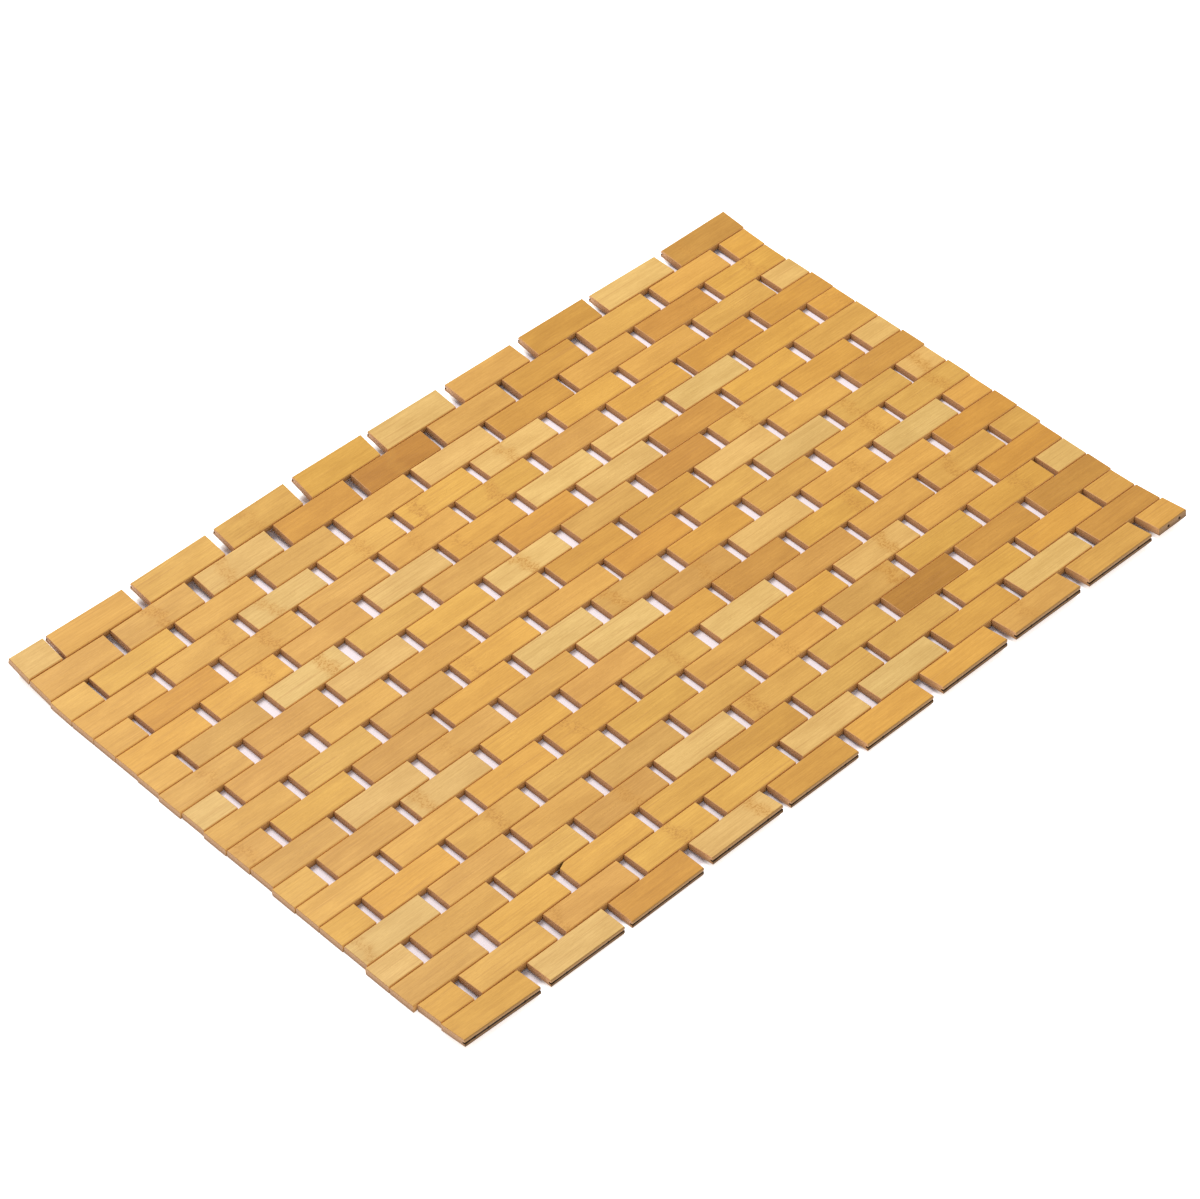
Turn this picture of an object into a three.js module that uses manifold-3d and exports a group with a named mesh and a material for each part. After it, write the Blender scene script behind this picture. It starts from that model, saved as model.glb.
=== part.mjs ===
// A bamboo bath mat: drilled bamboo slats laid like bricks and threaded on cord.
// Millimetres, +Z up. X runs along the slats, +Y towards the back row, the floor is Z = 0.
// Every piece is first made as if the mat lay flat, and curlUp() then lifts its two long edges.
import * as THREE from 'three';
import { mergeVertices } from 'three/addons/utils/BufferGeometryUtils.js';
import Module from 'manifold-3d';

const wasm = await Module();
wasm.setup();

// Layout: each row holds nine full slats and one half slat
const ROWS = 20;
const COLUMNS = 9;
const ROW_PITCH = 20;
const SLAT_PITCH = 64.2;
const SLAT_THICKNESS = 5.5;
const SEAM = 0.5;
const WINDOW = 7;

// Cord, its holes, and the groove in which it runs from one hole to the next
const CORD_RADIUS = 0.6;
const CORD_SIDES = 6;
const THREAD_SIDES = 4;
const HOLE_RADIUS = 1.15;
const HOLE_SIDES = 6;
const GROOVE = 1.8;
const CORNER_CUT = 0.6;
const DIVE = 2.4;
const POCKET_DEPTH = 4;
const EDGE_CORD_INSETS = [10.5, 20.5];

// Unevenness of the hand-fitted slats
const END_SPREAD = 1.2;
const PLANED_OFF = 0.12;
const ROW_LEAN = 0.5;

// Rows from back to front: how far each reaches left and right of the middle, and the width
// of the window beside its half slat
const ROW_ENDS = [
  { left: 299.5, right: 301.0, halfWindow: 2.5 },
  { left: 299.5, right: 300.0, halfWindow: 8.0 },
  { left: 300.5, right: 299.5, halfWindow: 3.7 },
  { left: 300.5, right: 301.0, halfWindow: 5.0 },
  { left: 300.5, right: 302.0, halfWindow: 4.2 },
  { left: 300.5, right: 301.5, halfWindow: 8.0 },
  { left: 301.0, right: 302.0, halfWindow: 4.5 },
  { left: 302.0, right: 302.0, halfWindow: 7.0 },
  { left: 301.0, right: 303.0, halfWindow: 6.0 },
  { left: 302.0, right: 301.5, halfWindow: 5.0 },
  { left: 301.5, right: 302.5, halfWindow: 7.0 },
  { left: 301.0, right: 301.5, halfWindow: 6.0 },
  { left: 302.5, right: 302.5, halfWindow: 7.5 },
  { left: 302.0, right: 302.0, halfWindow: 5.5 },
  { left: 302.0, right: 300.0, halfWindow: 6.0 },
  { left: 301.5, right: 300.0, halfWindow: 3.7 },
  { left: 303.5, right: 300.5, halfWindow: 7.0 },
  { left: 303.5, right: 299.5, halfWindow: 4.5 },
  { left: 301.0, right: 300.0, halfWindow: 5.7 },
  { left: 302.0, right: 301.0, halfWindow: 6.5 },
];

// Sections of the mat along X: how far the rows sway towards the back, and how high the
// undersides of the back and front rows rise at their outer edges
const SECTIONS = [
  { x: -305, sway: 0.0, back: 9.5, front: 5.0 },
  { x: -240, sway: -0.1, back: 7.0, front: 2.6 },
  { x: -160, sway: 0.4, back: 7.5, front: 1.2 },
  { x: -80, sway: 0.7, back: 9.0, front: 2.4 },
  { x: 0, sway: 1.0, back: 6.5, front: 2.2 },
  { x: 80, sway: 0.9, back: 4.5, front: 2.6 },
  { x: 150, sway: 0.4, back: 4.2, front: 4.0 },
  { x: 225, sway: -0.4, back: 2.0, front: 4.5 },
  { x: 305, sway: -1.4, back: 3.2, front: 5.4 },
];

// The share of that rise at each row edge, from the outer one inwards
const RISE_SHARES = [1, 0.5, 0.14];
const CURL_PITCH = 20.2;

// The slats of the back and front rows from left to right, each turned on its cords by hand:
// how much more or less than its section its outer edge rises
const OUTER_LIFTS = [
  { back: 0.0, front: 0.3 },
  { back: -0.9, front: -0.5 },
  { back: -0.6, front: -0.9 },
  { back: 0.0, front: 1.6 },
  { back: 1.3, front: -0.3 },
  { back: 0.0, front: -0.4 },
  { back: -1.0, front: 0.7 },
  { back: 1.0, front: 0.3 },
  { back: -0.8, front: 0.0 },
  { back: 0.5, front: 0.0 },
];

// Runs of rows that make one piece each: the middle lies flat and the others curl
const CURLED_ROWS = RISE_SHARES.length;
const RUNS = [
  { name: 'back', first: 0, last: CURLED_ROWS - 1 },
  { name: 'middle', first: CURLED_ROWS, last: ROWS - 1 - CURLED_ROWS },
  { name: 'front', first: ROWS - CURLED_ROWS, last: ROWS - 1 },
];

// Worked out from the sizes above
const SLAT_WIDTH = ROW_PITCH - SEAM;
const MAT_LEFT = -SLAT_PITCH * (COLUMNS + 0.5) / 2;
const OUTER_FACE = ROW_PITCH * ROWS / 2 - SEAM / 2;
const GROOVE_MIDDLE = OUTER_FACE - GROOVE / 2;
const MID_HEIGHT = SLAT_THICKNESS / 2;
const PAST_FACE = 1;

const bamboo = new THREE.MeshStandardMaterial({ color: 0xdcab5c, roughness: 0.45, metalness: 0 });
const cord = new THREE.MeshStandardMaterial({ color: 0x241a14, roughness: 0.8, metalness: 0 });

// Layout of slats and cords

// A repeatable value from -1 to 1 for one trait of one slat.
function uneven(row, slat, trait) {
  const wave = Math.sin(row * 12.9898 + slat * 78.233 + trait * 37.719) * 43758.5453;
  return 2 * (wave - Math.floor(wave)) - 1;
}

// The Y of a row edge. They are counted from the back: row 4 lies between edges 4 and 5.
function edgeY(edge) {
  return (ROWS / 2 - edge) * ROW_PITCH;
}

function rowMiddle(row) {
  return edgeY(row + 0.5);
}

function halfSlatIsLeft(row) {
  return row % 2 === 0;
}

function rowLean(row) {
  const { left, right } = ROW_ENDS[row];
  return ROW_LEAN * (right - left) / 2;
}

// The slats of one row from left to right, each with its two ends. A half slat's column is
// -1 at the left or COLUMNS at the right.
function slatsOfRow(row) {
  const { left, right, halfWindow } = ROW_ENDS[row];
  const first = halfSlatIsLeft(row) ? -1 : 0;
  const last = halfSlatIsLeft(row) ? COLUMNS - 1 : COLUMNS;
  const windowOffset = halfSlatIsLeft(row) ? 1.5 : 1;
  const slats = [];
  let start = -left;
  for (let column = first; column < last; column += 1) {
    const besideHalf = column === -1 || column + 1 === COLUMNS;
    const middle = MAT_LEFT + (column + windowOffset) * SLAT_PITCH + rowLean(row);
    const spread = besideHalf ? 0 : END_SPREAD;
    const reach = (besideHalf ? halfWindow : WINDOW) / 2;
    const end = middle - reach + spread * uneven(row, column, 1);
    slats.push({ row, column, left: start, right: end });
    start = middle + reach + spread * uneven(row, column, 2);
  }
  slats.push({ row, column: last, left: start, right });
  return slats;
}

const rows = Array.from({ length: ROWS }, (_, row) => slatsOfRow(row));

function slatsOfRun({ first, last }, column) {
  return rows.slice(first, last + 1).flat().filter((slat) => slat.column === column);
}

// Cords are numbered from the left. Each full slat of column k is held by cord 2k + 1 and by
// cord 2k or 2k + 2. The first and the last are doubled, the outer one first.
function cordPlaces(number) {
  if (number === 0) return EDGE_CORD_INSETS.map((inset) => MAT_LEFT + inset);
  if (number === 2 * COLUMNS) return EDGE_CORD_INSETS.map((inset) => -MAT_LEFT - inset);
  return [MAT_LEFT + (number + 0.5) * SLAT_PITCH / 2];
}

// Solids of the flat mat

function toSolid(geometry) {
  geometry.deleteAttribute('normal');
  geometry.deleteAttribute('uv');
  const merged = mergeVertices(geometry);
  const mesh = new wasm.Mesh({
    numProp: 3,
    vertProperties: merged.attributes.position.array,
    triVerts: Uint32Array.from(merged.index.array),
  });
  return new wasm.Manifold(mesh);
}

function join(solids) {
  return solids.reduce((joined, solid) => joined.add(solid));
}

// A slat whose long faces are planed back a little at each corner, so that seams differ.
function slatSolid({ row, column, left, right }) {
  const box = new THREE.BoxGeometry(right - left, SLAT_WIDTH, SLAT_THICKNESS);
  const position = box.attributes.position;
  for (let index = 0; index < position.count; index += 1) {
    const atRight = position.getX(index) > 0;
    const atBack = position.getY(index) > 0;
    const trait = 3 + (atRight ? 1 : 0) + (atBack ? 2 : 0);
    const planed = PLANED_OFF * (1 + uneven(row, column, trait)) / 2;
    position.setY(index, position.getY(index) + (atBack ? -planed : planed));
  }
  box.translate((left + right) / 2, rowMiddle(row), MID_HEIGHT);
  return toSolid(box);
}

// A straight round bar across the rows, from one Y to another.
function barSolid(x, from, to, radius, sides) {
  const bar = new THREE.CylinderGeometry(radius, radius, Math.abs(to - from), sides, 1);
  bar.translate(x, (from + to) / 2, MID_HEIGHT);
  return toSolid(bar);
}

// A path that turns only at its listed points.
class BentPath extends THREE.Curve {
  constructor(points) {
    super();
    this.points = points;
  }

  getPointAt(share, target = new THREE.Vector3()) {
    return target.copy(this.points[Math.round(share * (this.points.length - 1))]);
  }

  getTangentAt(share, target = new THREE.Vector3()) {
    const last = this.points.length - 1;
    const index = Math.round(share * last);
    const here = this.points[index];
    const arriving = here.clone().sub(this.points[Math.max(index - 1, 0)]).normalize();
    const leaving = this.points[Math.min(index + 1, last)].clone().sub(here).normalize();
    return target.copy(arriving).add(leaving).normalize();
  }
}

function cordTube(places) {
  const points = places.map(([x, y]) => new THREE.Vector3(x, y, MID_HEIGHT));
  const outline = Array.from({ length: CORD_SIDES }, (_, index) => {
    const angle = 2 * Math.PI * index / CORD_SIDES;
    return new THREE.Vector2(CORD_RADIUS * Math.cos(angle), CORD_RADIUS * Math.sin(angle));
  });
  const extrudePath = new BentPath(points);
  return new THREE.ExtrudeGeometry(new THREE.Shape(outline), { extrudePath, steps: points.length - 1 });
}

// The lacing from the hole at one X to the hole at the next, in the groove of the outer face
// at the back (1) or at the front (-1). It turns out of one hole and a little way into the other.
function lacing(fromX, toX, face) {
  const turn = CORNER_CUT * Math.sign(toX - fromX);
  const groove = face * GROOVE_MIDDLE;
  return [
    [fromX, groove - face * CORNER_CUT],
    [fromX + turn, groove],
    [toX - turn, groove],
    [toX, groove - face * CORNER_CUT],
    [toX, groove - face * DIVE],
  ];
}

// A cord from the back row to the front row, laced to the left at the back and to the right
// at the front. It may turn wherever it enters or leaves a row that curls.
function freeCord(number) {
  const [before] = cordPlaces(number - 1);
  const [here] = cordPlaces(number);
  const [after] = cordPlaces(number + 1);
  const fromOuter = Array.from({ length: CURLED_ROWS }, (_, index) => index + 1);
  const edges = [...fromOuter, ...fromOuter.map((edge) => ROWS - edge).reverse()];
  const across = edges.flatMap((edge) => [[here, edgeY(edge) + SEAM], [here, edgeY(edge) - SEAM]]);
  return cordTube([...lacing(here, before, 1).reverse(), ...across, ...lacing(here, after, -1)]);
}

// The holes for the given cords, from one face of the mat to the other.
function drill(solid, numbers) {
  const reach = OUTER_FACE + PAST_FACE;
  const holes = numbers.flatMap(cordPlaces).map((x) => barSolid(x, -reach, reach, HOLE_RADIUS, HOLE_SIDES));
  return solid.subtract(join(holes));
}

// A blind hole in the outer face at the back (1) or at the front (-1).
function pocket(x, face) {
  const floor = face * (OUTER_FACE - POCKET_DEPTH);
  return barSolid(x, floor, face * (OUTER_FACE + PAST_FACE), HOLE_RADIUS, HOLE_SIDES);
}

// The groove that is sawn along the outer face of the slat whose cord is at the given X.
function sawCut(x, face) {
  const depth = GROOVE + PAST_FACE;
  const box = new THREE.BoxGeometry(2 * SLAT_PITCH, depth, GROOVE);
  box.translate(x, face * (OUTER_FACE - GROOVE + depth / 2), MID_HEIGHT);
  return toSolid(box);
}

// How far a cord that is part of a piece runs: to the ends of its run of rows, or to just
// short of the pocket in an outer face.
function cordSpan({ first, last }) {
  const inner = OUTER_FACE - POCKET_DEPTH - CORD_RADIUS;
  const back = Math.min(edgeY(first) - SEAM / 2, inner);
  const front = Math.max(edgeY(last + 1) + SEAM / 2, -inner);
  return [back, front];
}

// The full slats of one column in one run of rows, joined to the cord that runs through all.
function columnSolid(column, run) {
  const slats = slatsOfRun(run, column).map(slatSolid);
  const number = 2 * column + 1;
  const [x] = cordPlaces(number);
  const [back, front] = cordSpan(run);
  const inset = SEAM;
  const thread = barSolid(x, back - inset, front + inset, CORD_RADIUS, THREAD_SIDES);
  const solid = drill(join([...slats, thread]), [number - 1, number + 1]);
  if (run.name === 'middle') return solid;
  const face = run.name === 'back' ? 1 : -1;
  return solid.subtract(sawCut(x, face)).subtract(pocket(x, face));
}

// The half slats of one end in one run of rows, on their two cords. At the left end (-1)
// these are laced to the next cord at the front, and at the right end (1) at the back.
function endSolid(side, run) {
  const slats = slatsOfRun(run, side < 0 ? -1 : COLUMNS).map(slatSolid);
  const [outer, inner] = cordPlaces(side < 0 ? 0 : 2 * COLUMNS);
  const [next] = cordPlaces(side < 0 ? 1 : 2 * COLUMNS - 1);
  const [back, front] = cordSpan(run);
  const isLaced = run.name === (side < 0 ? 'front' : 'back');
  if (isLaced) {
    const start = side < 0 ? back : front;
    const laced = toSolid(cordTube([[outer, start], ...lacing(outer, next, side)]));
    return join([...slats, laced, barSolid(inner, start, side * GROOVE_MIDDLE, CORD_RADIUS, CORD_SIDES)]);
  }
  const bars = [outer, inner].map((x) => barSolid(x, back, front, CORD_RADIUS, CORD_SIDES));
  const threaded = join([...slats, ...bars]);
  if (run.name === 'middle') return threaded;
  return threaded.subtract(pocket(outer, -side)).subtract(pocket(inner, -side));
}

// The curl of the two long edges

// The sway and rises at one X, between the two sections beside it.
function sectionAt(x) {
  const next = Math.max(SECTIONS.findIndex((section) => section.x >= x), 1);
  const [low, high] = [SECTIONS[next - 1], SECTIONS[next]];
  const share = (x - low.x) / (high.x - low.x);
  const between = (name) => low[name] + share * (high[name] - low[name]);
  return { sway: between('sway'), back: between('back'), front: between('front') };
}

// The middle of the mat's thickness at each row edge, as [y, z], at one X of a slat of the
// given place in its row.
function edgePlaces(x, place) {
  const { sway, back, front } = sectionAt(x);
  const lift = OUTER_LIFTS[place];
  const rises = new Array(ROWS + 1).fill(0);
  RISE_SHARES.forEach((share, edge) => {
    rises[edge] = share * back + (edge === 0 ? lift.back : 0);
    rises[ROWS - edge] = share * front + (edge === 0 ? lift.front : 0);
  });
  const places = [];
  places[ROWS / 2] = [sway, MID_HEIGHT];
  for (const way of [-1, 1]) {
    for (let edge = ROWS / 2 + way; edge >= 0 && edge <= ROWS; edge += way) {
      const step = rises[edge] - rises[edge - way];
      const pitch = step === 0 ? ROW_PITCH : CURL_PITCH;
      const run = Math.sqrt(pitch * pitch - step * step);
      places[edge] = [places[edge - way][0] - way * run, MID_HEIGHT + rises[edge]];
    }
  }
  return places;
}

// Where a point of one row goes, by the row edges at one X.
function rowPlace(places, row, across, up) {
  const [backY, backZ] = places[row];
  const [frontY, frontZ] = places[row + 1];
  const length = Math.hypot(backY - frontY, backZ - frontZ);
  const alongY = (backY - frontY) / length;
  const alongZ = (backZ - frontZ) / length;
  const y = (backY + frontY) / 2 + across * alongY - up * alongZ;
  const z = (backZ + frontZ) / 2 + across * alongZ + up * alongY;
  return [y, z];
}

// The slat of a row that holds the given X, or else the nearest one.
function placeOfSlat(row, x) {
  const past = rows[row].findIndex((slat) => x <= slat.right + WINDOW / 2);
  return past < 0 ? COLUMNS : past;
}

// Moves a point of the flat mat to its place in the curled one. Each slat stays straight, and
// the cord inside it goes with it.
function curlPoint(point) {
  const row = THREE.MathUtils.clamp(Math.floor(ROWS / 2 - point.y / ROW_PITCH), 0, ROWS - 1);
  const place = placeOfSlat(row, point.x);
  const { left, right } = rows[row][place];
  const across = point.y - rowMiddle(row);
  const up = point.z - MID_HEIGHT;
  const [leftY, leftZ] = rowPlace(edgePlaces(left, place), row, across, up);
  const [rightY, rightZ] = rowPlace(edgePlaces(right, place), row, across, up);
  const share = (point.x - left) / (right - left);
  point.y = leftY + share * (rightY - leftY);
  point.z = leftZ + share * (rightZ - leftZ);
  return point;
}

function curlUp(geometry) {
  const position = geometry.attributes.position;
  const point = new THREE.Vector3();
  for (let index = 0; index < position.count; index += 1) {
    curlPoint(point.fromBufferAttribute(position, index));
    position.setXYZ(index, point.x, point.y, point.z);
  }
  geometry.computeVertexNormals();
  return geometry;
}

function toGeometry(solid) {
  const { numProp, vertProperties, triVerts } = solid.getMesh();
  const geometry = new THREE.BufferGeometry();
  const corners = Float32Array.from(vertProperties);
  geometry.setAttribute('position', new THREE.BufferAttribute(corners, numProp));
  geometry.setIndex(new THREE.BufferAttribute(Uint32Array.from(triVerts), 1));
  return geometry;
}

// The mat

const mat = new THREE.Group();

function addPiece(name, geometry, material) {
  const piece = new THREE.Mesh(curlUp(geometry), material);
  piece.name = name;
  mat.add(piece);
}

for (const run of RUNS) {
  addPiece(`left_end_${run.name}`, toGeometry(endSolid(-1, run)), bamboo);
  for (let column = 0; column < COLUMNS; column += 1) {
    addPiece(`column_${column + 1}_${run.name}`, toGeometry(columnSolid(column, run)), bamboo);
  }
  addPiece(`right_end_${run.name}`, toGeometry(endSolid(1, run)), bamboo);
}
for (let number = 2; number < 2 * COLUMNS; number += 2) {
  addPiece(`cord_${number}`, freeCord(number), cord);
}

// The origin is the middle of the mat's footprint, on the floor.
const footprint = new THREE.Box3().setFromObject(mat).getCenter(new THREE.Vector3());
mat.position.set(-footprint.x, -footprint.y, 0);

export default mat;
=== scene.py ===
import math
import random
from collections import namedtuple

import bmesh
import bpy
from mathutils import Matrix, Vector


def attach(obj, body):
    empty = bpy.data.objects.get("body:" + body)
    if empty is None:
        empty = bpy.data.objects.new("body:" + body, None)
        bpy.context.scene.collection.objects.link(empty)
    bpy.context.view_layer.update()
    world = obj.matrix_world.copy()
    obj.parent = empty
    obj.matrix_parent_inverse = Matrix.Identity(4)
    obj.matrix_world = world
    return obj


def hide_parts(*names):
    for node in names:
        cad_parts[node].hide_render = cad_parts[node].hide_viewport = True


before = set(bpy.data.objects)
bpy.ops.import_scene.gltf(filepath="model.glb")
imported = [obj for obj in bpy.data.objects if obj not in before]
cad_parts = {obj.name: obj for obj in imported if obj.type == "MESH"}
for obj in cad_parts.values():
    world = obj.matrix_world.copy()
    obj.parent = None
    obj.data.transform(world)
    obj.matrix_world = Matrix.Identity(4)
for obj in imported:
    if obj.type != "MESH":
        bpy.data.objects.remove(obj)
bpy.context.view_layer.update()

# A bamboo mat of short slats laid like bricks and threaded on dark cord. It is laid out flat in
# millimetres, row 0 at the back, and its points are curled up and turned into metres at the end.
MM = 0.001

# Layout: each row holds nine full slats and one half slat
ROWS = 20
COLUMNS = 9
ROW_PITCH = 20.0
SLAT_PITCH = 64.2
SLAT_THICKNESS = 5.5
SEAM = 0.5
WINDOW = 7.0
END_SPREAD = 1.2
PLANED_OFF = 0.12
ROW_LEAN = 0.5
EDGE_CORD_INSETS = (10.5, 20.5)

# Rows from back to front: how far each reaches left and right of the middle, and the width
# of the window beside its half slat
RowEnds = namedtuple("RowEnds", "left right half_window")
ROW_ENDS = [
    RowEnds(299.5, 301.0, 2.5),
    RowEnds(299.5, 300.0, 8.0),
    RowEnds(300.5, 299.5, 3.7),
    RowEnds(300.5, 301.0, 5.0),
    RowEnds(300.5, 302.0, 4.2),
    RowEnds(300.5, 301.5, 8.0),
    RowEnds(301.0, 302.0, 4.5),
    RowEnds(302.0, 302.0, 7.0),
    RowEnds(301.0, 303.0, 6.0),
    RowEnds(302.0, 301.5, 5.0),
    RowEnds(301.5, 302.5, 7.0),
    RowEnds(301.0, 301.5, 6.0),
    RowEnds(302.5, 302.5, 7.5),
    RowEnds(302.0, 302.0, 5.5),
    RowEnds(302.0, 300.0, 6.0),
    RowEnds(301.5, 300.0, 3.7),
    RowEnds(303.5, 300.5, 7.0),
    RowEnds(303.5, 299.5, 4.5),
    RowEnds(301.0, 300.0, 5.7),
    RowEnds(302.0, 301.0, 6.5),
]

# Sections along X: the sway of the rows, and the rise of the back and front outer edges
Section = namedtuple("Section", "x sway back front")
SECTIONS = [
    Section(-305, 0.0, 9.5, 5.0),
    Section(-240, -0.1, 7.0, 2.6),
    Section(-160, 0.4, 7.5, 1.2),
    Section(-80, 0.7, 9.0, 2.4),
    Section(0, 1.0, 6.5, 2.2),
    Section(80, 0.9, 4.5, 2.6),
    Section(150, 0.4, 4.2, 4.0),
    Section(225, -0.4, 2.0, 4.5),
    Section(305, -1.4, 3.2, 5.4),
]
RISE_SHARES = (1.0, 0.5, 0.14)
CURL_PITCH = 20.2

# How much more or less than its section each slat of the back and front rows rises
OuterLift = namedtuple("OuterLift", "back front")
OUTER_LIFTS = [
    OuterLift(0.0, 0.3),
    OuterLift(-0.9, -0.5),
    OuterLift(-0.6, -0.9),
    OuterLift(0.0, 1.6),
    OuterLift(1.3, -0.3),
    OuterLift(0.0, -0.4),
    OuterLift(-1.0, 0.7),
    OuterLift(1.0, 0.3),
    OuterLift(-0.8, 0.0),
    OuterLift(0.5, 0.0),
]

# The three runs of rows that the frame's nodes are split into
CURLED_ROWS = len(RISE_SHARES)
Run = namedtuple("Run", "name first last")
RUNS = [
    Run("back", 0, CURLED_ROWS - 1),
    Run("middle", CURLED_ROWS, ROWS - 1 - CURLED_ROWS),
    Run("front", ROWS - CURLED_ROWS, ROWS - 1),
]

# The traits that are uneven from slat to slat: its right end, the left end of the next slat, and
# how far its corners are planed back, which takes this number and the next three
END_TRAIT = 1
START_TRAIT = 2
CORNER_TRAIT = 3

# The wave that the uneven values are read from: how far a row, a slat and a trait step along it,
# and how high it is
ROW_STEP = 12.9898
SLAT_STEP = 78.233
TRAIT_STEP = 37.719
WAVE_HEIGHT = 43758.5453

# Finer shape of slats and cord. The round is that of the long upper edges, and other edges have
# a share of it.
FINE_SEAM = 0.3
LONG_EDGE_ROUND = 1.0
END_EDGE_SHARE = 0.55
CORNER_SHARE = 0.3
BOTTOM_SHARE = 0.25
EDGE_SEGMENTS = 3
HOLE_RADIUS = 1.0
HOLE_SIDES = 14
GROOVE_HEIGHT = 1.3
GROOVE_DEPTH = 1.7
CORD_RADIUS = 0.55
CORD_SIDES = 10
CORD_TWIST_LENGTH = 3.2
CORD_PLY_DEPTH = 0.16
CORD_STEP = 0.5
LACE_BEND = 0.9
LACE_DIVE = 2.4
BEND_STEPS = 5

# The slat whose top has lost its back left corner, as its row and place, and the chip's size,
# with its width at the thin end
CHIPPED_SLAT = (17, 2)
CHIP_LENGTH = 6.5
CHIP_WIDTH = 3.2
CHIP_DEPTH = 5.0
CHIP_TIP = 0.1

# How faces are told apart: how near the middle of the thickness those inside a slat lie, how near
# its ends or sides those of its outside lie, and how squarely the mat's outer faces face outwards
INNER_REACH = 1.5
SKIN_DEPTH = 0.5
FACING = 0.4

# Worked out from the sizes above
SLAT_WIDTH = ROW_PITCH - FINE_SEAM
MAT_LEFT = -SLAT_PITCH * (COLUMNS + 0.5) / 2
OUTER_FACE = ROW_PITCH * ROWS / 2 - SEAM / 2
MID_HEIGHT = SLAT_THICKNESS / 2
SHORTEST_REACH = min(min(ends.left, ends.right) for ends in ROW_ENDS)

# Tones of the tops, as linear colours. A slat that isn't listed draws one of the common ones.
TONES = {
    "honey": (0.510, 0.288, 0.070),
    "golden": (0.515, 0.283, 0.057),
    "pale": (0.530, 0.345, 0.128),
    "rosy": (0.475, 0.262, 0.068),
    "amber": (0.468, 0.238, 0.043),
    "brown": (0.430, 0.217, 0.044),
    "dark": (0.342, 0.156, 0.023),
}
COMMON_TONES = ("honey", "honey", "honey", "golden", "golden", "pale", "rosy")

# The seed of the random source, the largest seed that it draws for a slat's grain, and how far
# it changes a slat's lightness and warmth
RANDOM_SEED = 20
LARGEST_GRAIN_SEED = 50
LIGHTNESS_SPREAD = 0.05
WARMTH_SPREAD = 0.04

# Painted light and shade, for the light and sheen that fall off from left to right: what the red,
# green and blue of the tones are multiplied by at the mat's left and right ends
LEFT_PAINTED_LIGHT = (1.02, 1.01, 0.92)
RIGHT_PAINTED_SHADE = (0.97, 0.92, 0.74)

# Painted shade on the mat's outer faces, which offsets the light from the glowing floor: how far they
# are darkened towards the painted shade of the holes, for the upper and lower halves of its front and
# back, and its two ends
SIDE_PAINTED_SHADE = 0.52
FOOT_PAINTED_SHADE = 0.66
END_PAINTED_SHADE = 0.34

# Slats that stand out by tone, each as its row and its place in the row from the left
LISTED_TONES = {
    "dark": [(1, 4), (16, 7)],
    "brown": [(2, 8), (6, 7), (7, 6), (8, 9), (12, 6), (16, 8), (16, 9), (0, 9), (18, 9)],
    "amber": [
        (1, 3), (1, 6), (2, 6), (4, 1), (4, 8), (4, 9), (6, 5), (8, 5), (8, 6), (9, 5),
        (10, 6), (12, 9), (14, 9), (17, 4), (19, 2), (19, 4), (0, 7),
    ],
    "rosy": [
        (4, 3), (6, 4), (8, 1), (11, 2), (12, 1), (13, 6), (15, 1), (15, 3), (15, 6),
        (16, 3), (10, 0),
    ],
    "pale": [
        (3, 5), (5, 7), (7, 9), (8, 7), (9, 9), (10, 4), (11, 1), (11, 4), (11, 8),
        (16, 4), (18, 8), (19, 3),
    ],
}

# Slats on which a growth ring of the cane shows: how far along from the left, and how strongly
Ring = namedtuple("Ring", "row place share strength")
RINGS = [
    Ring(0, 1, 0.25, 0.5),
    Ring(0, 3, 0.40, 0.4),
    Ring(0, 9, 0.22, 0.5),
    Ring(1, 1, 0.50, 1.0),
    Ring(1, 2, 0.32, 0.6),
    Ring(1, 4, 0.50, 0.6),
    Ring(2, 8, 0.70, 0.6),
    Ring(2, 9, 0.60, 0.8),
    Ring(3, 1, 0.80, 0.6),
    Ring(3, 2, 0.32, 0.6),
    Ring(3, 3, 0.50, 0.7),
    Ring(3, 4, 0.20, 1.0),
    Ring(3, 5, 0.38, 0.6),
    Ring(4, 2, 0.55, 1.0),
    Ring(4, 4, 0.40, 0.4),
    Ring(4, 5, 0.40, 1.0),
    Ring(5, 1, 0.75, 0.7),
    Ring(5, 4, 0.20, 0.6),
    Ring(5, 9, 0.75, 0.5),
    Ring(6, 2, 0.75, 1.0),
    Ring(7, 0, 0.55, 0.5),
    Ring(7, 4, 0.45, 0.9),
    Ring(7, 7, 0.40, 0.6),
    Ring(9, 3, 0.13, 0.5),
    Ring(9, 8, 0.20, 0.6),
    Ring(9, 9, 0.50, 0.9),
    Ring(10, 0, 0.30, 0.6),
    Ring(10, 5, 0.20, 1.0),
    Ring(10, 8, 0.72, 0.9),
    Ring(10, 9, 0.65, 0.8),
    Ring(11, 2, 0.30, 0.4),
    Ring(11, 5, 0.62, 0.8),
    Ring(11, 7, 0.70, 0.7),
    Ring(12, 2, 0.15, 0.8),
    Ring(12, 6, 0.10, 0.7),
    Ring(12, 7, 0.85, 0.9),
    Ring(13, 3, 0.28, 0.7),
    Ring(13, 4, 0.60, 0.6),
    Ring(13, 8, 0.33, 0.8),
    Ring(14, 2, 0.58, 0.8),
    Ring(14, 7, 0.66, 0.9),
    Ring(15, 0, 0.15, 0.5),
    Ring(15, 5, 0.40, 0.6),
    Ring(15, 6, 0.87, 1.0),
    Ring(15, 8, 0.68, 0.8),
    Ring(16, 3, 0.58, 0.8),
    Ring(16, 5, 0.17, 1.0),
    Ring(18, 2, 0.07, 0.6),
    Ring(18, 3, 0.57, 0.7),
    Ring(19, 3, 0.80, 0.9),
    Ring(19, 7, 0.35, 0.5),
]


# Layout of the slats

Slat = namedtuple("Slat", "row place column left right")


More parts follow.
